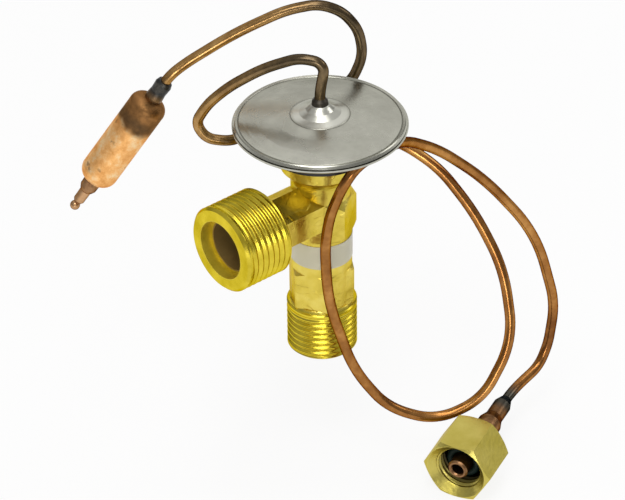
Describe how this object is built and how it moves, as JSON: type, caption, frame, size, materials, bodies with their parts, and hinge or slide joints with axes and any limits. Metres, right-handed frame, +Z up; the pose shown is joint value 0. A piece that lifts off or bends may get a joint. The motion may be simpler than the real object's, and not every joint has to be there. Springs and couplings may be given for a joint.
{
  "type": "thermostatic expansion valve",
  "caption": "Externally equalised angle-pattern thermostatic expansion valve: brass body, diaphragm power element, capillary with sensing bulb and a bent equaliser line with a flare nut.",
  "frame": {"origin": "where the valve's vertical axis meets the outlet port's axis, inside the upper wrench hexagon", "axes": "+Z up the valve axis to the power element, -X out of the outlet port, +Y to the side where the equaliser line joins the body"},
  "size_m": [0.0854, 0.095, 0.1053],
  "materials": {
    "forged_brass": "satin as-forged and machined",
    "turned_brass": "turned",
    "nut_brass": "bright drawn",
    "polished_steel": "polished",
    "spring_steel": "drawn wire",
    "strainer_steel": "stamped",
    "stainless": "satin",
    "stainless_inner": "rolled",
    "seal_rubber": "moulded",
    "green_rubber": "moulded",
    "black_gasket": "moulded",
    "aged_copper": "oxidised",
    "red_copper": "drawn, lightly oxidised",
    "sleeve_copper": "heat tinted",
    "bulb_copper": "drawn, heat tinted at the neck",
    "solder": "dull",
    "dark_braze": "scaled",
    "label": "printed film, left blank"
  },
  "bodies": {
    "valve": {"valve_body": "forged_brass", "orifice_seat": "turned_brass", "superheat_spring": "spring_steel", "adjusting_nut": "turned_brass", "inlet_strainer": "strainer_steel", "strainer_ring": "spring_steel", "rod_seal": "seal_rubber", "seal_retainer": "strainer_steel", "element_gasket": "black_gasket", "element_base": "stainless", "diaphragm": "stainless_inner", "element_cover": "stainless", "capillary_tube": "aged_copper", "capillary_collar": "solder", "bulb_neck_sleeve": "dark_braze", "bulb_shell": "bulb_copper", "bulb_end_collar": "aged_copper", "bulb_fill_tip": "aged_copper", "equaliser_tube": "red_copper", "equaliser_body_joint": "dark_braze", "equaliser_sleeve": "sleeve_copper", "equaliser_sleeve_joint": "dark_braze", "equaliser_seal": "green_rubber", "body_label": "label"},
    "valve_train": {"buffer_plate": "stainless_inner", "push_rod": "polished_steel", "valve_ball": "polished_steel", "ball_carrier": "turned_brass"},
    "swivel_nut": {"equaliser_nut": "nut_brass"}
  },
  "joints": [
    {"name": "valve_lift", "type": "slide", "parent": "valve", "child": "valve_train", "axis": [0, 0, 1], "range_m": [0, 0.0007], "stiffness_N_per_m": 2000, "springref_m": -0.0005, "deforming": ["superheat_spring", "diaphragm"]},
    {"name": "nut_spin", "type": "hinge", "parent": "valve", "child": "swivel_nut", "pos_m": [0.00896, -0.03588, -0.06002], "axis": [0.9151, 0.4021, 0.03], "continuous": true}
  ]
}
